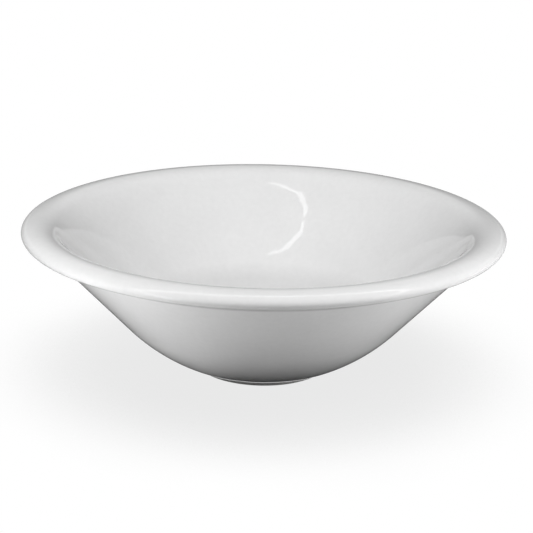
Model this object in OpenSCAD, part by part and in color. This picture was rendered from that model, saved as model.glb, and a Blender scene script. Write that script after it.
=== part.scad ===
// Glazed shaving bowl: a flaring wall on a low foot ring, with a rolled rim,
// under one fused skin of glaze. Z is up, and the table is at z = 0.

/* [Bowl] */
// Diameter across the finished rim
rim_d = 140; // [120:1:170]
// Height from the table to the top of the finished rim
bowl_h = 44.4; // [38:0.2:54]
// Thickness of the fired wall under the glaze
wall_t = 3.9; // [3.2:0.1:5.5]
// Slope of the wall above the horizontal, in degrees
wall_angle = 47; // [42:0.5:52]
// Slope of the underside where it leaves the foot, in degrees
base_angle = 20; // [10:0.5:26]
// Thickness of the fired floor over the hollow in the foot
floor_t = 3.9; // [3:0.1:6]
// Diameter of the flat in the middle of the floor
floor_d = 18; // [8:1:28]

/* [Rim] */
// Height of the finished roll, from its ledge to its crown
rim_h = 5; // [4:0.1:6.5]
// Reach of the finished lip beyond the crown
lip_reach = 4.9; // [3.5:0.1:6.5]
// Width of the ledge under the lip, in to the crease
ledge_w = 1.6; // [1.2:0.1:3]
// Radius in the crease between the ledge and the wall
crease_r = 1; // [0.6:0.1:2]
// Length of wall, below the crease, that is formed with the rim
rim_skirt = 3; // [1:0.5:8]

/* [Foot] */
// Diameter of the foot ring
foot_d = 38.4; // [32:0.2:50]
// Height of the foot ring up to its joint with the wall
foot_h = 1.2; // [0.8:0.1:3]
// Width of the foot ring at the table
foot_w = 3; // [2:0.1:5]
// Radius on the foot ring's two standing edges
foot_edge_r = 0.4; // [0.2:0.1:0.7]
// Height of the hollow inside the foot ring
hollow_h = 2.2; // [1.6:0.1:4]
// Lean of the hollow's side from the vertical, in degrees
hollow_draft = 20; // [0:1:35]

/* [Glaze] */
// Thickness of the glaze
glaze_t = 0.3; // [0.15:0.05:0.5]

/* [Hidden] */
// Steps in each round stretch of an outline
steps = 24;
// Steps in a small edge or crease
fine_steps = 6;
// Facets of a turned piece in a preview
$fn = 160;
clay_colour = [0.93, 0.92, 0.89];
glaze_colour = [0.97, 0.97, 0.97];

// Sizes of the clay, which the glaze then thickens
clay_rim_r = rim_d / 2 - glaze_t;
crown_z = bowl_h - glaze_t;
lip_a = lip_reach - glaze_t;
lip_b = rim_h / 2 - glaze_t;
crown_r = clay_rim_r - lip_a;
foot_r = foot_d / 2;
floor_r = floor_d / 2;
floor_z = hollow_h + floor_t;

// Directions along the wall, up and out, and square to its two faces
along_wall = polar(wall_angle);
wall_out = polar(wall_angle - 90);
wall_in = -wall_out;

// The corner in the crease, its fillet's start on the wall, and the rim's joint below it
crease = [crown_r - ledge_w, crown_z - 2 * lip_b];
crease_fillet_r = min(crease_r, 0.9 * ledge_w / tan(wall_angle / 2));
fillet_start = crease - crease_fillet_r * tan(wall_angle / 2) * along_wall;
joint_out = fillet_start - rim_skirt * along_wall;
joint_in = joint_out + wall_t * wall_in;

// The belly's arc runs from the foot's top edge into the wall's straight slope
foot_top = [foot_r, foot_h];
belly_corner = meet(foot_top, polar(base_angle), crease, along_wall);
belly_r = norm(belly_corner - foot_top) / tan((wall_angle - base_angle) / 2);
belly_c = foot_top + belly_r * polar(base_angle + 90);

// The shoulder's arc rounds the crown into the inner wall
inner_crown = meet(joint_in, along_wall, [0, crown_z], [1, 0]);
shoulder_r = (crown_r - inner_crown[0]) / tan(wall_angle / 2);

// The well's arc rounds the inner wall into the floor
inner_foot = meet(joint_in, along_wall, [0, floor_z], [1, 0]);
well_r = (inner_foot[0] - floor_r) / tan(wall_angle / 2);

function polar(angle) = [cos(angle), sin(angle)];

// Where the line through p along u crosses the line through q along v
function meet(p, u, q, v) =
    let (cross_uv = u[0] * v[1] - u[1] * v[0], d = q - p)
    p + u * (d[0] * v[1] - d[1] * v[0]) / cross_uv;

// A station on an outline is a point and the direction out of the clay there
function arc(c, r, from, to, count, side = 1) =
    [for (i = [0:count])
        let (a = from + (to - from) * i / count)
        [c + r * polar(a), side * polar(a)]];

function ellipse_arc(c, a, b, from, to, count) =
    [for (i = [0:count])
        let (t = from + (to - from) * i / count, n = [cos(t) / a, sin(t) / b])
        [c + [a * cos(t), b * sin(t)], n / norm(n)]];

function points(stations) = [for (s = stations) s[0]];
function lifted(stations, t) = [for (s = stations) s[0] + t * s[1]];
function reversed(list) = [for (i = [len(list) - 1:-1:0]) list[i]];

// The clay's outline in three stretches, from the foot up, over the rim and down to the floor
belly = arc(belly_c, belly_r, base_angle - 90, wall_angle - 90, steps);
rim = concat(
    [[joint_out, wall_out]],
    arc(fillet_start + crease_fillet_r * wall_out, crease_fillet_r,
        wall_angle + 90, 90, fine_steps, -1),
    ellipse_arc([crown_r, crown_z - lip_b], lip_a, lip_b, -90, 90, 2 * steps),
    arc([crown_r, crown_z - shoulder_r], shoulder_r, 90, 90 + wall_angle, steps),
    [[joint_in, wall_in]]);
well = concat(
    arc([floor_r, floor_z + well_r], well_r, wall_angle - 90, -90, steps, -1),
    [[[0, floor_z], [0, 1]]]);

// Radius of the hollow in the foot at a height, and of the glaze that lines it
function hollow_r(z) = foot_r - foot_w - z * tan(hollow_draft);
function lined_r(z) = hollow_r(z) - glaze_t / cos(hollow_draft);

module turned(outline, colour) {
    color(colour) rotate_extrude() polygon(outline);
}

// Floor and flaring wall, with the hollow cut in its underside
module bowl_wall() {
    turned(concat(
        points(belly), [joint_out, joint_in], points(well),
        [[0, hollow_h], [hollow_r(hollow_h), hollow_h], [hollow_r(foot_h), foot_h]]),
        clay_colour);
}

// Thick rounded rim, seated square on the wall's top edge
module rolled_rim() {
    turned(points(rim), clay_colour);
}

// Bare standing ring, seated flat on the underside of the wall
module foot_ring() {
    outer_edge = arc([foot_r - foot_edge_r, foot_edge_r], foot_edge_r, 0, -90, fine_steps);
    inner_edge = arc([hollow_r(0) + foot_edge_r, foot_edge_r], foot_edge_r,
        -90, -180 + hollow_draft, fine_steps);
    turned(concat(
        [foot_top], points(outer_edge), points(inner_edge), [[hollow_r(foot_h), foot_h]]),
        clay_colour);
}

// Skin of glass over the outside, the rim and the inside
module glaze_coat() {
    skin = concat(belly, rim, well);
    turned(concat(points(skin), reversed(lifted(skin, glaze_t))), glaze_colour);
}

// Patch of glass that lines the hollow under the floor
module base_glaze() {
    lined_z = hollow_h - glaze_t;
    turned([
        [0, hollow_h], [hollow_r(hollow_h), hollow_h], [hollow_r(foot_h), foot_h],
        [lined_r(foot_h), foot_h], [lined_r(lined_z), lined_z], [0, lined_z]],
        glaze_colour);
}

bowl_wall();
rolled_rim();
foot_ring();
glaze_coat();
base_glaze();
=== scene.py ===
import bpy
from math import cos, exp, pi, radians, sin, sqrt, tan
from mathutils import Matrix, Vector


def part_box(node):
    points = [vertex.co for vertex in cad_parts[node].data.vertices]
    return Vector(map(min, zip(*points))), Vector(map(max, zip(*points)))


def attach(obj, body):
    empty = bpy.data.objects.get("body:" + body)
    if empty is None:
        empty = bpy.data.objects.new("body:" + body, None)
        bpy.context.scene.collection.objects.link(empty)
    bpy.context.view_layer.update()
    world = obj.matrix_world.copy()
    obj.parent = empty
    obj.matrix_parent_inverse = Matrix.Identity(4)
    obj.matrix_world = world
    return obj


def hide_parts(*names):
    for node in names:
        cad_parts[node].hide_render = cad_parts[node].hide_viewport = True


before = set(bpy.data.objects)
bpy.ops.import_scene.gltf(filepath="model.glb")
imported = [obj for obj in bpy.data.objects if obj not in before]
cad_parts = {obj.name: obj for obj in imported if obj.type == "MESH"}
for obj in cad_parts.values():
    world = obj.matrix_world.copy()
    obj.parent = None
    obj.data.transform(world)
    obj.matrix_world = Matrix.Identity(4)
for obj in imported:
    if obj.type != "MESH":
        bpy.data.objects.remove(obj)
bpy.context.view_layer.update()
scene = bpy.context.scene
scene.view_settings.view_transform = "Standard"
mm = 0.001
print("frame loaded:", sorted(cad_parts))

# Sizes in millimetres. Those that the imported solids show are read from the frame
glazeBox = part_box("glaze_coat")
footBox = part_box("foot_ring")
bowl = {
    "rimRadius": glazeBox[1].x / mm,
    "height": glazeBox[1].z / mm,
    "footRadius": footBox[1].x / mm,
    "footHeight": footBox[1].z / mm,
    "wallThickness": 3.9,   # fired clay alone
    "wallSlope": 47,        # degrees above the table
    "footSlope": 20,        # degrees, where the belly leaves the foot
    "floorThickness": 3.9,
    "floorFlatRadius": 9,
    "lipReach": 4.9,        # crown to the lip's outer edge
    "rimHeight": 5.0,       # ledge to crown
    "ledgeWidth": 1.6,
    "creaseRadius": 1.0,
    "footWidth": 3.0,
    "footEdgeRadius": 0.4,
    "hollowHeight": 2.2,
    "hollowDraft": 20,      # degrees from the vertical
    "glaze": 0.3,
    "glazeEdge": 0.9,       # rounded edge where the glaze stops above the foot
    "edgeStart": 0.14,      # share of the thickness that this edge starts from
    "poolRadius": 0.5,      # pooled glaze in the hollow's corner
}
steps = {
    "belly": 30, "outerWall": 44, "crease": 10, "lip": 60, "shoulder": 24,
    "innerWall": 14, "well": 28, "floor": 6, "footEdge": 8, "pool": 8,
    "hiddenEvery": 3,       # the glaze's hidden side takes every third station
    "lineEnd": 0.005,       # straight runs have stations close to their ends, so that they shade straight
}


# Outline helpers: a station is a point (radius, height) and the direction out of the clay
def polar(angle):
    return Vector((cos(angle), sin(angle)))


def meet(p, u, q, v):
    d = q - p
    return p + u * ((d.x * v.y - d.y * v.x) / (u.x * v.y - u.y * v.x))


def spread(start, end, count):
    return [start + (end - start) * i / count for i in range(count + 1)]


def arcStations(centre, radius, start, end, count, side=1):
    return [(centre + radius * polar(a), side * polar(a)) for a in spread(start, end, count)]


def ellipseStations(centre, a, b, start, end, count):
    stations = []
    for t in spread(start, end, count):
        normal = Vector((cos(t) / a, sin(t) / b)).normalized()
        stations.append((centre + Vector((a * cos(t), b * sin(t))), normal))
    return stations


def lineStations(start, end, normal, count):
    shares = [steps["lineEnd"]] + spread(0, 1, count)[1:-1] + [1 - steps["lineEnd"]]
    return [(start + (end - start) * s, normal) for s in shares]


def wallPoints(b):
    slope = radians(b["wallSlope"])
    crown = Vector((b["rimRadius"] - b["lipReach"], b["height"] - b["glaze"]))
    crease = Vector((crown.x - b["ledgeWidth"], b["height"] - b["rimHeight"] + b["glaze"]))
    onInnerWall = crease - b["wallThickness"] * polar(slope - pi / 2)
    floorMiddle = Vector((0, b["hollowHeight"] + b["floorThickness"]))
    innerFoot = meet(onInnerWall, polar(slope), floorMiddle, Vector((1, 0)))
    return crown, crease, onInnerWall, floorMiddle, innerFoot


def clayOutline(b):
    crown, crease, onInnerWall, floorMiddle, innerFoot = wallPoints(b)
    slope = radians(b["wallSlope"])
    footSlope = radians(b["footSlope"])
    halfTan = tan(slope / 2)
    along = polar(slope)
    outward = polar(slope - pi / 2)
    lipA = b["lipReach"] - b["glaze"]
    lipB = b["rimHeight"] / 2 - b["glaze"]
    creaseRadius = b["creaseRadius"]
    creaseCentre = crease - creaseRadius * halfTan * along + creaseRadius * outward
    footTop = Vector((b["footRadius"], b["footHeight"]))
    bellyCorner = meet(footTop, polar(footSlope), crease, along)
    bellyRadius = (bellyCorner - footTop).length / tan((slope - footSlope) / 2)
    bellyCentre = footTop + bellyRadius * polar(footSlope + pi / 2)
    innerCrown = meet(onInnerWall, along, crown, Vector((1, 0)))
    shoulderRadius = (crown.x - innerCrown.x) / halfTan
    shoulderCentre = crown - Vector((0, shoulderRadius))
    wellRadius = (innerFoot.x - b["floorFlatRadius"]) / halfTan
    wellCentre = Vector((b["floorFlatRadius"], floorMiddle.y + wellRadius))
    belly = arcStations(bellyCentre, bellyRadius, footSlope - pi / 2, slope - pi / 2, steps["belly"])
    fillet = arcStations(creaseCentre, creaseRadius, slope + pi / 2, pi / 2, steps["crease"], -1)
    lip = ellipseStations(crown - Vector((0, lipB)), lipA, lipB, -pi / 2, pi / 2, steps["lip"])
    shoulder = arcStations(shoulderCentre, shoulderRadius, pi / 2, pi / 2 + slope, steps["shoulder"])[1:]
    well = arcStations(wellCentre, wellRadius, slope - pi / 2, -pi / 2, steps["well"], -1)
    outerWall = lineStations(belly[-1][0], fillet[0][0], outward, steps["outerWall"])
    innerWall = lineStations(shoulder[-1][0], well[0][0], -outward, steps["innerWall"])
    up = Vector((0, 1))
    floorLine = lineStations(well[-1][0], floorMiddle, up, steps["floor"]) + [(floorMiddle, up)]
    return belly + outerWall + fillet + lip + shoulder + innerWall + well + floorLine


def glazeOutline(b):
    clay = clayOutline(b)
    run = 0
    skin = []
    for i, (point, normal) in enumerate(clay):
        run += (point - clay[i - 1][0]).length if i else 0
        share = min(1, run / b["glazeEdge"])
        rounded = max(b["edgeStart"], sqrt(share * (2 - share)))
        skin.append(point + b["glaze"] * rounded * normal)
    hidden = [point for point, normal in clay]
    return hidden[:0:-steps["hiddenEvery"]] + hidden[:1] + skin


def footOutline(b):
    draft = radians(b["hollowDraft"])
    edge = b["footEdgeRadius"]
    innerFoot = b["footRadius"] - b["footWidth"]
    top = b["footHeight"]
    outer = arcStations(Vector((b["footRadius"] - edge, edge)), edge, 0, -pi / 2, steps["footEdge"])
    inner = arcStations(Vector((innerFoot + edge, edge)), edge, -pi / 2, draft - pi, steps["footEdge"])
    corners = [Vector((innerFoot - top * tan(draft), top)), Vector((b["footRadius"], top))]
    loop = [point for point, normal in outer + inner] + corners
    return loop[::-1] + loop[-1:]


def baseOutline(b):
    draft = radians(b["hollowDraft"])
    top = b["hollowHeight"]
    edge = b["footHeight"]
    pool = b["poolRadius"]

    def sideRadius(z):
        return b["footRadius"] - b["footWidth"] - z * tan(draft)

    lined = top - b["glaze"]
    wall = b["glaze"] / cos(draft)
    poolCentre = Vector((sideRadius(lined) - wall - pool, lined - pool))
    rounded = [point for point, normal in arcStations(poolCentre, pool, pi / 2, 0, steps["pool"])]
    lining = [Vector((0, lined))] + rounded + [Vector((sideRadius(edge) - wall, edge))]
    backing = [Vector((sideRadius(edge), edge)), Vector((sideRadius(top), top)), Vector((0, top))]
    return lining + backing


# Painted shade in the glaze's colour: how much light it takes in the crease under the rim and in the well,
# and how far it reaches
shade = {
    "crease": 0.36, "creaseEnd": 2.9, "creaseFade": 0.5,    # share of the light, then millimetres
    "well": 0.12, "wellEdge": 6.0,
}


# Painted shade along the outline: a share of darkening near the crease under the rim and down the well
def paintedGlazeShade(b, s, points):
    crown, crease, onInnerWall, floorMiddle, innerFoot = wallPoints(b)
    slope = radians(b["wallSlope"])
    corner = crease + b["glaze"] / cos(slope / 2) * polar(slope / 2 - pi / 2)
    wellTop = innerFoot + (innerFoot.x - b["floorFlatRadius"]) * polar(slope)
    top = max(range(len(points)), key=lambda i: points[i].y)    # later points lie inside the bowl
    paintedShades = []
    for i, p in enumerate(points):
        if i < top:
            share = (s["creaseEnd"] - (p - corner).length) / s["creaseFade"]
            paintedShades.append(s["crease"] * max(0, min(1, share)))
        elif p.y < wellTop.y:
            paintedShades.append(s["well"] * min(1, (wellTop - p).length / s["wellEdge"]))
        else:
            paintedShades.append(0)
    return paintedShades


# Geometry Nodes: turns an outline, with the painted shade share along it, round the bowl's axis
def addNode(tree, kind, **values):
    node = tree.nodes.new(kind)
    for name, value in values.items():
        setattr(node, name, value)
    return node


def setInputs(node, values):
    for name, value in values.items():
        node.inputs[name].default_value = value


def turningTree():
    tree = bpy.data.node_groups.new("turnedOutline", "GeometryNodeTree")
    sockets = (("Outline", "Geometry"), ("Rows", "Int"), ("Columns", "Int"), ("Merge Within", "Float"),
               ("Material", "Material"))
    for name, kind in sockets:
        tree.interface.new_socket(name, in_out="INPUT", socket_type="NodeSocket" + kind)
    tree.interface.new_socket("Turned", in_out="OUTPUT", socket_type="NodeSocketGeometry")
    link = tree.links.new
    given = addNode(tree, "NodeGroupInput")
    grid = addNode(tree, "GeometryNodeMeshGrid")
    setInputs(grid, {"Size X": 1, "Size Y": 1})
    link(given.outputs["Columns"], grid.inputs["Vertices X"])
    link(given.outputs["Rows"], grid.inputs["Vertices Y"])
    place = addNode(tree, "GeometryNodeInputPosition").outputs[0]
    apart = addNode(tree, "ShaderNodeSeparateXYZ")
    link(place, apart.inputs[0])
    turn = addNode(tree, "ShaderNodeMapRange")    # across the grid is once round the axis
    setInputs(turn, {"From Min": -0.5, "From Max": 0.5, "To Max": 2 * pi})
    link(apart.outputs["X"], turn.inputs["Value"])
    lastRow = addNode(tree, "ShaderNodeMath", operation="SUBTRACT")
    link(given.outputs["Rows"], lastRow.inputs[0])
    lastRow.inputs[1].default_value = 1
    row = addNode(tree, "ShaderNodeMapRange")    # up the grid is along the outline
    setInputs(row, {"From Min": -0.5, "From Max": 0.5})
    link(apart.outputs["Y"], row.inputs["Value"])
    link(lastRow.outputs[0], row.inputs["To Max"])
    index = addNode(tree, "FunctionNodeFloatToInt", rounding_mode="ROUND")
    link(row.outputs[0], index.inputs[0])
    paintedShade = addNode(tree, "GeometryNodeInputNamedAttribute", data_type="FLOAT")
    setInputs(paintedShade, {"Name": "paintedShade"})
    sampled = []
    for kind, value in (("FLOAT_VECTOR", place), ("FLOAT", paintedShade.outputs["Attribute"])):
        sample = addNode(tree, "GeometryNodeSampleIndex", data_type=kind, domain="POINT")
        link(given.outputs["Outline"], sample.inputs["Geometry"])
        link(value, sample.inputs["Value"])
        link(index.outputs[0], sample.inputs["Index"])
        sampled.append(sample.outputs[0])
    spun = addNode(tree, "ShaderNodeVectorRotate", rotation_type="Z_AXIS")
    link(sampled[0], spun.inputs["Vector"])
    link(turn.outputs[0], spun.inputs["Angle"])
    keep = addNode(tree, "GeometryNodeStoreNamedAttribute", data_type="FLOAT", domain="POINT")
    setInputs(keep, {"Name": "paintedShade"})
    link(grid.outputs["Mesh"], keep.inputs["Geometry"])
    link(sampled[1], keep.inputs["Value"])
    setPlace = addNode(tree, "GeometryNodeSetPosition")
    link(keep.outputs["Geometry"], setPlace.inputs["Geometry"])
    link(spun.outputs[0], setPlace.inputs["Position"])
    merge = addNode(tree, "GeometryNodeMergeByDistance")    # closes the seam and the poles
    link(setPlace.outputs[0], merge.inputs["Geometry"])
    link(given.outputs["Merge Within"], merge.inputs["Distance"])
    smooth = addNode(tree, "GeometryNodeSetShadeSmooth")
    link(merge.outputs[0], smooth.inputs["Geometry"])
    realise = addNode(tree, "GeometryNodeRealizeInstances")
    link(smooth.outputs[0], realise.inputs["Geometry"])
    finish = addNode(tree, "GeometryNodeSetMaterial")
    link(realise.outputs[0], finish.inputs["Geometry"])
    link(given.outputs["Material"], finish.inputs["Material"])
    link(finish.outputs[0], addNode(tree, "NodeGroupOutput").inputs[0])
    return tree


def turnedPiece(name, tree, points, values, paintedShades=()):
    mesh = bpy.data.meshes.new(name + "Outline")
    edges = [(i, i + 1) for i in range(len(points) - 1)]
    mesh.from_pydata([(p.x * mm, 0, p.y * mm) for p in points], edges, [])
    # The painted shade share, kept on each point for the glaze's colour
    paintedShade = mesh.attributes.new("paintedShade", "FLOAT", "POINT")
    paintedShade.data.foreach_set("value", paintedShades or [0] * len(points))
    source = bpy.data.objects.new(name + "Source", mesh)
    scene.collection.objects.link(source)
    modifier = source.modifiers.new("turn", "NODES")
    modifier.node_group = tree
    sockets = {s.name: s.identifier for s in tree.interface.items_tree if s.in_out == "INPUT"}
    for key, value in dict(values, Rows=len(points)).items():
        modifier[sockets[key]] = value
    graph = bpy.context.evaluated_depsgraph_get()
    made = bpy.data.meshes.new_from_object(source.evaluated_get(graph))
    made.name = name
    bpy.data.objects.remove(source)
    piece = bpy.data.objects.new(name, made)
    scene.collection.objects.link(piece)
    return piece


# Shader groups shared by the glaze and the bare clay. Their sizes are in millimetres
def shaderGroup(name, inputs, output):
    tree = bpy.data.node_groups.new(name, "ShaderNodeTree")
    for label in inputs:
        tree.interface.new_socket(label, in_out="INPUT", socket_type="NodeSocketFloat")
    tree.interface.new_socket(output, in_out="OUTPUT", socket_type="NodeSocketFloat")
    return tree, addNode(tree, "NodeGroupInput"), addNode(tree, "NodeGroupOutput")


def scaleFrom(tree, size):
    node = addNode(tree, "ShaderNodeMath", operation="DIVIDE")
    node.inputs[0].default_value = 1 / mm
    tree.links.new(size, node.inputs[1])
    return node.outputs[0]


mottling = {
    "cloudDetail": 2.5, "grainDetail": 3,
    "lowest": 0.3, "highest": 0.7,    # noise keeps near a half: this span is opened to the full range
}


def mottleGroup(m):
    inputs = ("Cloud Size", "Grain Size", "Grain Share", "Seed")
    tree, given, out = shaderGroup("firedMottle", inputs, "Tone")
    link = tree.links.new
    place = addNode(tree, "ShaderNodeTexCoord").outputs["Object"]
    parts = []
    for size, detail in (("Cloud Size", m["cloudDetail"]), ("Grain Size", m["grainDetail"])):
        noise = addNode(tree, "ShaderNodeTexNoise", noise_dimensions="4D")
        setInputs(noise, {"Detail": detail})
        link(place, noise.inputs["Vector"])
        link(given.outputs["Seed"], noise.inputs["W"])
        link(scaleFrom(tree, given.outputs[size]), noise.inputs["Scale"])
        parts.append(noise.outputs[0])
    blend = addNode(tree, "ShaderNodeMix", data_type="FLOAT")
    link(given.outputs["Grain Share"], blend.inputs[0])
    link(parts[0], blend.inputs[2])
    link(parts[1], blend.inputs[3])
    opened = addNode(tree, "ShaderNodeMapRange")
    setInputs(opened, {"From Min": m["lowest"], "From Max": m["highest"]})
    link(blend.outputs[0], opened.inputs["Value"])
    link(opened.outputs[0], out.inputs["Tone"])
    return tree


def speckGroup():
    tree, given, out = shaderGroup("kilnSpecks", ("Spacing", "Speck Size", "Share"), "Speck")
    link = tree.links.new
    cells = addNode(tree, "ShaderNodeTexVoronoi", feature="F1")
    link(addNode(tree, "ShaderNodeTexCoord").outputs["Object"], cells.inputs["Vector"])
    link(scaleFrom(tree, given.outputs["Spacing"]), cells.inputs["Scale"])
    reach = addNode(tree, "ShaderNodeMath", operation="DIVIDE")    # distances are in cells
    link(given.outputs["Speck Size"], reach.inputs[0])
    link(given.outputs["Spacing"], reach.inputs[1])
    dot = addNode(tree, "ShaderNodeMapRange", interpolation_type="SMOOTHSTEP")
    setInputs(dot, {"To Min": 1, "To Max": 0})
    link(cells.outputs["Distance"], dot.inputs["Value"])
    link(reach.outputs[0], dot.inputs["From Max"])
    hue = addNode(tree, "ShaderNodeSeparateColor")
    link(cells.outputs["Color"], hue.inputs[0])
    chosen = addNode(tree, "ShaderNodeMath", operation="LESS_THAN")    # only some cells have a speck
    link(hue.outputs[0], chosen.inputs[0])
    link(given.outputs["Share"], chosen.inputs[1])
    both = addNode(tree, "ShaderNodeMath", operation="MULTIPLY")
    link(dot.outputs[0], both.inputs[0])
    link(chosen.outputs[0], both.inputs[1])
    link(both.outputs[0], out.inputs["Speck"])
    return tree


def newMaterial(name):
    material = bpy.data.materials.new(name)
    material.use_nodes = True
    tree = material.node_tree
    return material, tree, tree.nodes["Principled BSDF"]


def placeGroup(tree, group, values):
    node = addNode(tree, "ShaderNodeGroup", node_tree=group)
    setInputs(node, values)
    return node.outputs[0]


def mixColour(tree, share, low, high):
    mix = addNode(tree, "ShaderNodeMix", data_type="RGBA")
    tree.links.new(share, mix.inputs[0])
    for socket, value in ((mix.inputs[6], low), (mix.inputs[7], high)):    # the two colours
        if isinstance(value, tuple):
            socket.default_value = (*value, 1)
        else:
            tree.links.new(value, socket)
    return mix.outputs[2]


def mapTo(tree, value, low, high):
    node = addNode(tree, "ShaderNodeMapRange")
    tree.links.new(value, node.inputs["Value"])
    setInputs(node, {"To Min": low, "To Max": high})
    return node.outputs[0]


def addBump(tree, shader, height, distance):
    bump = addNode(tree, "ShaderNodeBump")
    setInputs(bump, {"Distance": distance * mm})
    tree.links.new(height, bump.inputs["Height"])
    tree.links.new(bump.outputs[0], shader.inputs["Normal"])


glazeLook = {
    "thick": (0.823, 0.823, 0.823), "thin": (0.777, 0.777, 0.777),
    # The last colour is painted shade: the glaze darkens toward it in the crease under the rim and in the
    # well
    "speck": (0.55, 0.55, 0.55), "paintedShadeTone": (0, 0, 0),
    "glossiest": 0.008, "dullest": 0.016, "waveHeight": 0.0012,    # waves in millimetres
    "mottle": {"Cloud Size": 14, "Grain Size": 1.6, "Grain Share": 0.55, "Seed": 2},
    "specks": {"Spacing": 9, "Speck Size": 0.22, "Share": 0.12},
    "waves": {"Cloud Size": 7, "Grain Size": 2.5, "Grain Share": 0.1, "Seed": 7},
}


def glazeMaterial(g, mottle, specks):
    material, tree, shader = newMaterial("whiteGlaze")
    tone = placeGroup(tree, mottle, g["mottle"])
    dots = placeGroup(tree, specks, g["specks"])
    # Painted shade: the base colour is mixed toward black in the crease under the rim and in the well
    deep = addNode(tree, "ShaderNodeAttribute", attribute_name="paintedShade").outputs["Fac"]
    speckled = mixColour(tree, dots, mixColour(tree, tone, g["thin"], g["thick"]), g["speck"])
    tree.links.new(mixColour(tree, deep, speckled, g["paintedShadeTone"]), shader.inputs["Base Color"])
    tree.links.new(mapTo(tree, tone, g["dullest"], g["glossiest"]), shader.inputs["Roughness"])
    addBump(tree, shader, placeGroup(tree, mottle, g["waves"]), g["waveHeight"])
    return material


clayLook = {
    "pale": (0.70, 0.70, 0.69), "dark": (0.56, 0.56, 0.55), "speck": (0.34, 0.34, 0.33),
    "smoothest": 0.62, "roughest": 0.9, "grainHeight": 0.03,    # grain in millimetres
    "mottle": {"Cloud Size": 5, "Grain Size": 0.35, "Grain Share": 0.6, "Seed": 4},
    "specks": {"Spacing": 1.6, "Speck Size": 0.16, "Share": 0.3},
}


def clayMaterial(c, mottle, specks):
    material, tree, shader = newMaterial("bareClay")
    tone = placeGroup(tree, mottle, c["mottle"])
    dots = placeGroup(tree, specks, c["specks"])
    speckled = mixColour(tree, dots, mixColour(tree, tone, c["dark"], c["pale"]), c["speck"])
    tree.links.new(speckled, shader.inputs["Base Color"])
    tree.links.new(mapTo(tree, tone, c["roughest"], c["smoothest"]), shader.inputs["Roughness"])
    addBump(tree, shader, tone, c["grainHeight"])
    return material


firedMottle = mottleGroup(mottling)
kilnSpecks = speckGroup()
whiteGlaze = glazeMaterial(glazeLook, firedMottle, kilnSpecks)
bareClay = clayMaterial(clayLook, firedMottle, kilnSpecks)
print("materials made")

# Points round the axis, the last on the first, and how near two points merge, in millimetres
rounds = {"glazeCoat": 289, "footRing": 193, "baseGlaze": 145, "mergeWithin": 0.002}


def turnedValues(name, material):
    return {"Columns": rounds[name], "Merge Within": rounds["mergeWithin"] * mm, "Material": material}


turning = turningTree()
glazeLine = glazeOutline(bowl)
glazeCoat = turnedPiece("glazeCoat", turning, glazeLine, turnedValues("glazeCoat", whiteGlaze),
                        paintedGlazeShade(bowl, shade, glazeLine))
footRing = turnedPiece("footRing", turning, footOutline(bowl), turnedValues("footRing", bareClay))
baseGlaze = turnedPiece("baseGlaze", turning, baseOutline(bowl), turnedValues("baseGlaze", whiteGlaze))
for piece, node, slot in ((glazeCoat, "glaze_coat", "white_glaze"), (footRing, "foot_ring", "fired_clay"),
                          (baseGlaze, "base_glaze", "white_glaze")):
    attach(piece, "root")
    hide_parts(node)
    print("turned", piece.name, len(piece.data.polygons), "faces")
for name in ("bowl_wall", "rolled_rim"):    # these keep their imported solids, under the glaze
    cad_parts[name].data.materials.clear()
    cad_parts[name].data.materials.append(bareClay)

cameraView = {
    "elevation": 16.51, "distance": 481.06, "pivotHeight": 38.5,    # degrees, millimetres
    "aimAside": 0.944, "aimHeight": 30.026, "roll": 1.11,
    "focalPixels": 1649.4, "imagePixels": 533, "sensor": 36, "clipStart": 10,
}


def addCamera(c):
    data = bpy.data.cameras.new("photoCamera")
    camera = bpy.data.objects.new("photoCamera", data)
    scene.collection.objects.link(camera)
    up = radians(c["elevation"])
    camera.location = Vector((0, -c["distance"] * cos(up), c["pivotHeight"] + c["distance"] * sin(up))) * mm
    aim = Vector((c["aimAside"], 0, c["aimHeight"])) * mm
    look = (aim - camera.location).to_track_quat("-Z", "Y")
    camera.rotation_mode = "QUATERNION"
    camera.rotation_quaternion = look @ Matrix.Rotation(radians(c["roll"]), 3, "Z").to_quaternion()
    data.sensor_width = c["sensor"]
    data.lens = c["focalPixels"] / c["imagePixels"] * c["sensor"]
    data.clip_start = c["clipStart"] * mm
    scene.camera = camera


addCamera(cameraView)


# Stage: white for the camera and for mirror rays, and no light of its own
def mirrorShare(tree):
    rays = addNode(tree, "ShaderNodeLightPath")
    total = rays.outputs["Is Camera Ray"]
    for name in ("Is Glossy Ray", "Is Transmission Ray"):
        more = addNode(tree, "ShaderNodeMath", operation="MAXIMUM")
        tree.links.new(total, more.inputs[0])
        tree.links.new(rays.outputs[name], more.inputs[1])
        total = more.outputs[0]
    return total


def addWorld():
    world = bpy.data.worlds.new("studio")
    scene.world = world
    world.use_nodes = True
    white = world.node_tree.nodes["Background"]
    white.inputs["Color"].default_value = (1, 1, 1, 1)
    world.node_tree.links.new(mirrorShare(world.node_tree), white.inputs["Strength"])


def stageMesh(name, points, faces, material):
    mesh = bpy.data.meshes.new(name)
    mesh.from_pydata(points, [], faces)
    mesh.materials.append(material)
    piece = bpy.data.objects.new(name, mesh)
    scene.collection.objects.link(piece)
    return piece


floorPaper = {
    "half": 4, "roughness": 0.9,    # metres
    "bounce": [    # metres out and paleness: painted shade under the bowl, a painted pool of bounce light round it
        (0.0, 0.02), (0.045, 0.02), (0.055, 0.46), (0.11, 0.49), (0.13, 0.06), (0.3, 0.05),
    ],
    "shadowTone": 0.81, "shadowReach": 0.11, "shadowFull": 0.42, "shadowNone": 0.72, "shadowRays": 8,
}


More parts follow.
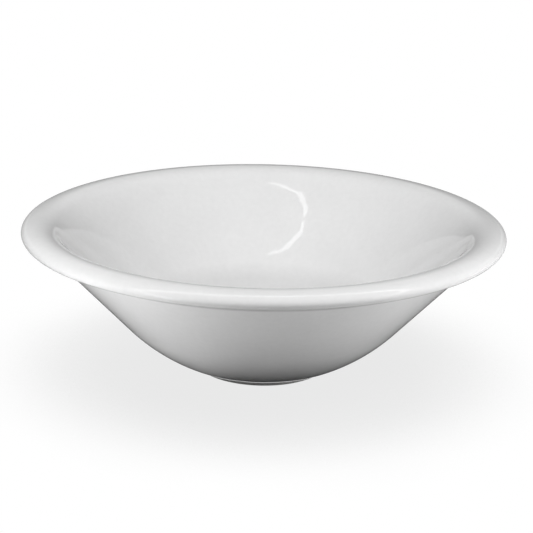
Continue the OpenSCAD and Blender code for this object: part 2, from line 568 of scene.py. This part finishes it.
def floorMaterial(f):
    material, tree, bounce = newMaterial("floorPaper")
    link = tree.links.new
    setInputs(bounce, {"Roughness": f["roughness"], "Specular IOR Level": 0})
    far = addNode(tree, "ShaderNodeVectorMath", operation="LENGTH")
    link(addNode(tree, "ShaderNodeTexCoord").outputs["Object"], far.inputs[0])
    reach = f["bounce"][-1][0]
    share = addNode(tree, "ShaderNodeMath", operation="DIVIDE")
    link(far.outputs["Value"], share.inputs[0])
    share.inputs[1].default_value = reach
    # Painted bounce light and shade in the floor's colour, by distance from the bowl
    pale = addNode(tree, "ShaderNodeValToRGB")
    stops = pale.color_ramp.elements
    for i, (away, level) in enumerate(f["bounce"]):
        stop = stops[i] if i < 2 else stops.new(1)    # a new ramp has two stops
        stop.position = away / reach
        stop.color = (level, level, level, 1)
    link(share.outputs[0], pale.inputs[0])
    link(pale.outputs[0], bounce.inputs["Base Color"])
    # The bowl's own soft shadow
    unshaded = addNode(tree, "ShaderNodeAmbientOcclusion", samples=f["shadowRays"])
    setInputs(unshaded, {"Distance": f["shadowReach"]})
    tone = addNode(tree, "ShaderNodeMapRange")
    setInputs(tone, {"From Min": f["shadowFull"], "From Max": f["shadowNone"], "To Min": f["shadowTone"]})
    link(unshaded.outputs["AO"], tone.inputs["Value"])
    paper = addNode(tree, "ShaderNodeEmission")
    link(tone.outputs[0], paper.inputs["Color"])
    mix = addNode(tree, "ShaderNodeMixShader")
    link(mirrorShare(tree), mix.inputs[0])
    link(bounce.outputs[0], mix.inputs[1])
    link(paper.outputs[0], mix.inputs[2])
    link(mix.outputs[0], tree.nodes["Material Output"].inputs[0])
    return material


def addFloor(f):
    h = f["half"]
    corners = [(-h, -h, 0), (h, -h, 0), (h, h, 0), (-h, h, 0)]
    stageMesh("floor", corners, [(0, 1, 2, 3)], floorMaterial(f))


addWorld()
addFloor(floorPaper)

bowlMiddle = Vector((0, 0, 0.03))    # metres; the lamps and the tent stand round it
# Lamps: degrees round from the camera side, degrees up, then metres away, wide and deep, and watts
lamps = {
    "frontTop": (-4, 60, 0.9, 0.6, 0.5, 7.15),
    "backTop": (180, 75, 0.9, 0.6, 0.5, 0.4),
    "frontLow": (0, 12, 0.9, 0.8, 0.2, 0.457),
    "leftSide": (-76, 25, 0.14, 0.2, 0.1, 0.048),
    "rightSide": (70, 25, 0.14, 0.2, 0.1, 0.032),
    "rightBack": (130, 35, 0.9, 0.4, 0.4, 0.14),
    "leftLow": (-90, 1.5, 0.5, 0.4, 0.06, 0.3),
    "rightLow": (90, 1.5, 0.5, 0.4, 0.06, 0.9),
    "leftCorner": (-50, 1.5, 0.5, 0.3, 0.06, 0.06),
}
# Bright patches of table, facing up: degrees round, metres out, metres wide and watts
patches = {
    "leftPatch": (-43, 0.13, 0.08, 0.071),
    "rightPatch": (45, 0.13, 0.08, 0.0364),
    "sidePatch": (90, 0.13, 0.08, 0.0828),
    "nearPatch": (-57, 0.06, 0.05, 0.004),
    "leftFoot": (-45, 0.04, 0.03, 0.001),
    "rightFoot": (55, 0.038, 0.03, 0.0005),
    "frontFoot": (0, 0.036, 0.03, 0.0001),
}
patchHeight = 0.001    # metres above the floor


def toward(turned, up):
    a = radians(turned)
    e = radians(up)
    return Vector((sin(a) * cos(e), -cos(a) * cos(e), sin(e)))


def addLamp(name, place, facing, wide, deep, watts):
    data = bpy.data.lights.new(name, "AREA")
    data.shape = "RECTANGLE"
    data.size = wide
    data.size_y = deep
    data.energy = watts
    lamp = bpy.data.objects.new(name, data)
    scene.collection.objects.link(lamp)
    lamp.location = place
    lamp.rotation_mode = "QUATERNION"
    lamp.rotation_quaternion = facing.to_track_quat("-Z", "Y")
    lamp.visible_camera = False
    lamp.visible_glossy = False


for name, (turned, up, away, wide, deep, watts) in lamps.items():
    addLamp(name, bowlMiddle + away * toward(turned, up), -toward(turned, up), wide, deep, watts)
for name, (turned, away, wide, watts) in patches.items():
    upward = Vector((0, 0, 1))
    addLamp(name, away * toward(turned, 0) + patchHeight * upward, upward, wide, wide, watts)
print("lamps lit:", len(lamps) + len(patches))


# What the glaze mirrors: a soft tent, side panels, a dark table, a bent strip and an arch of light.
# Only mirror rays meet them
def onlyMirrored(piece):
    piece.visible_camera = False
    piece.visible_diffuse = False
    piece.visible_shadow = False


def glowMaterial(name, strength):
    material, tree, shader = newMaterial(name)
    glow = addNode(tree, "ShaderNodeEmission")
    setInputs(glow, {"Strength": strength})
    material.cycles.emission_sampling = "NONE"
    tree.links.new(glow.outputs[0], tree.nodes["Material Output"].inputs[0])
    return material, tree, glow


def addGlowing(name, points, faces, strength):
    onlyMirrored(stageMesh(name, points, faces, glowMaterial(name + "Glow", strength)[0]))


def addToned(name, points, faces, tones):
    material, tree, glow = glowMaterial(name + "Glow", 1)
    held = addNode(tree, "ShaderNodeAttribute", attribute_name="tone")
    tree.links.new(held.outputs["Fac"], glow.inputs["Strength"])
    piece = stageMesh(name, points, faces, material)
    piece.data.attributes.new("tone", "FLOAT", "POINT").data.foreach_set("value", tones)
    onlyMirrored(piece)


def ringFaces(rows, columns):
    faces = []
    for j in range(rows - 1):
        for i in range(columns):
            a = j * columns + i
            b = j * columns + (i + 1) % columns
            faces.append((a, b, b + columns, a + columns))
    return faces


def ribbonFaces(count):
    return [(i, i + 1, i + 3, i + 2) for i in range(0, count - 2, 2)]


# A smooth curve through a few points
def smoothWay(points, count):
    ends = [2 * points[0] - points[1]] + points + [2 * points[-1] - points[-2]]
    way = []
    for a, b, c, d in zip(ends, ends[1:], ends[2:], ends[3:]):
        for t in spread(0, 1, count)[:-1]:
            bend = (2 * a - 5 * b + 4 * c - d) * t ** 2 + (3 * b - a - 3 * c + d) * t ** 3
            way.append(b + ((c - a) * t + bend) / 2)
    return way + points[-1:]


tent = {
    "radius": 30, "columns": 180, "rows": 60,    # metres
    "backUp": 30, "backSpread": 8, "backWide": 28, "backTone": 0.4,    # degrees; the end facing the camera
}


def tentTone(t, turned, up):
    high = (up - t["backUp"]) / t["backSpread"]
    aside = (180 - turned) / t["backWide"]
    return t["backTone"] * exp(-high * high - aside * aside)


def addTent(t):
    turns = spread(0, 360, t["columns"])[:-1]
    ways = [(turned, up) for up in spread(0, 90, t["rows"]) for turned in turns]
    points = [bowlMiddle + t["radius"] * toward(*way) for way in ways]
    addToned("tent", points, ringFaces(t["rows"] + 1, t["columns"]), [tentTone(t, *way) for way in ways])


panels = {
    "aside": 1.0, "splay": 0.1755, "front": -0.6, "back": 25,    # metres; splay is for each metre back
    "tones": [(0.001, 0.0), (0.5, 0.1), (0.928, 0.48)],    # height and paleness, bottom to top
}


def addPanels(p):
    for name, side in (("leftPanel", -1), ("rightPanel", 1)):
        ends = [(side * (p["aside"] + p["splay"] * y), y) for y in (p["front"], p["back"])]
        points = [(x, y, z) for z, tone in p["tones"] for x, y in ends]
        tones = [tone for z, tone in p["tones"] for end in ends]
        addToned(name, points, ribbonFaces(len(points)), tones)


# A small dark flag keeps the strip's second image out of the well
flag = {"height": 30, "aside": (0, 12), "back": (32, 35.6)}    # millimetres


def addFlag(f):
    points = [(x * mm, y * mm, f["height"] * mm) for y in f["back"] for x in f["aside"]]
    addGlowing("flag", points, ribbonFaces(len(points)), 0)


tableCard = {
    "height": 0.0003, "columns": 96,    # metres
    "tones": [(0.0205, 0.0), (0.09, 0.0), (0.13, 0.18), (31, 0.18)],    # metres out and paleness
}


def addTableCard(c):
    turns = [polar(a) for a in spread(0, 2 * pi, c["columns"])[:-1]]
    points = [(r * t.x, r * t.y, c["height"]) for r, tone in c["tones"] for t in turns]
    tones = [tone for r, tone in c["tones"] for t in turns]
    addToned("tableCard", points, ringFaces(len(c["tones"]), c["columns"]), tones)


# An arch of light in front of the rim, which shows there as a thin loop
arch = {
    "wide": 11, "strength": 3.2, "steps": 6, "faces": (0, -64, 43),    # millimetres; it faces the rim
    "way": [
        (-55, -100, 2), (-85, -122, 6), (-113, -134, 50), (-118, -110, 92), (-87, -75, 135),
        (-40, -44, 148), (0, -34, 148), (60, -27, 142), (110, -58, 125), (125, -93, 98), (113, -132, 56),
    ],
}


def addArch(a):
    way = smoothWay([Vector(point) for point in a["way"]], a["steps"])
    points = []
    for i, w in enumerate(way):
        along = way[min(i + 1, len(way) - 1)] - way[max(i - 1, 0)]
        side = along.cross(w - Vector(a["faces"])).normalized() * a["wide"] / 2
        points += [(w - side) * mm, (w + side) * mm]
    addGlowing("arch", points, ribbonFaces(len(points)), a["strength"])


# A strip of light overhead, bent back on itself, which shows in the bowl as a bright arc with uneven edges
bentStrip = {
    "height": 600, "strength": 3.4, "steps": 4,    # millimetres
    "runs": [    # degrees across it at the two ends, then its middle and its width
        ((148, 150), [
            (-14, -130, 1), (-60, -127, 5), (-98, -122, 5), (-120, -118, 6), (-133, -115, 16),
            (-143, -114, 12), (-150, -113, 20), (-159, -113, 12), (-172, -112, 18), (-174, -117, 13),
        ]),
        ((156, 180), [
            (-174, -121, 15), (-176, -122, 20), (-178, -124, 14), (-176, -130, 20), (-160, -140, 18),
            (-130, -157, 20), (-103, -167, 13), (-80, -173, 15), (-31, -181, 12),
        ]),
    ],
}


def addBentStrip(s):
    points = []
    faces = []
    for (start, end), middle in s["runs"]:
        way = smoothWay([Vector(station) for station in middle], s["steps"])
        first = len(points)
        for (x, y, wide), across in zip(way, spread(start, end, len(way) - 1)):
            half = polar(radians(across)) * wide / 2
            for side in (1, -1):
                points.append(Vector((x + side * half.x, y + side * half.y, s["height"])) * mm)
        faces += [tuple(first + i for i in face) for face in ribbonFaces(len(points) - first)]
    addGlowing("bentStrip", points, faces, s["strength"])


addTent(tent)
addPanels(panels)
addFlag(flag)
addTableCard(tableCard)
addArch(arch)
addBentStrip(bentStrip)
print("stage set")
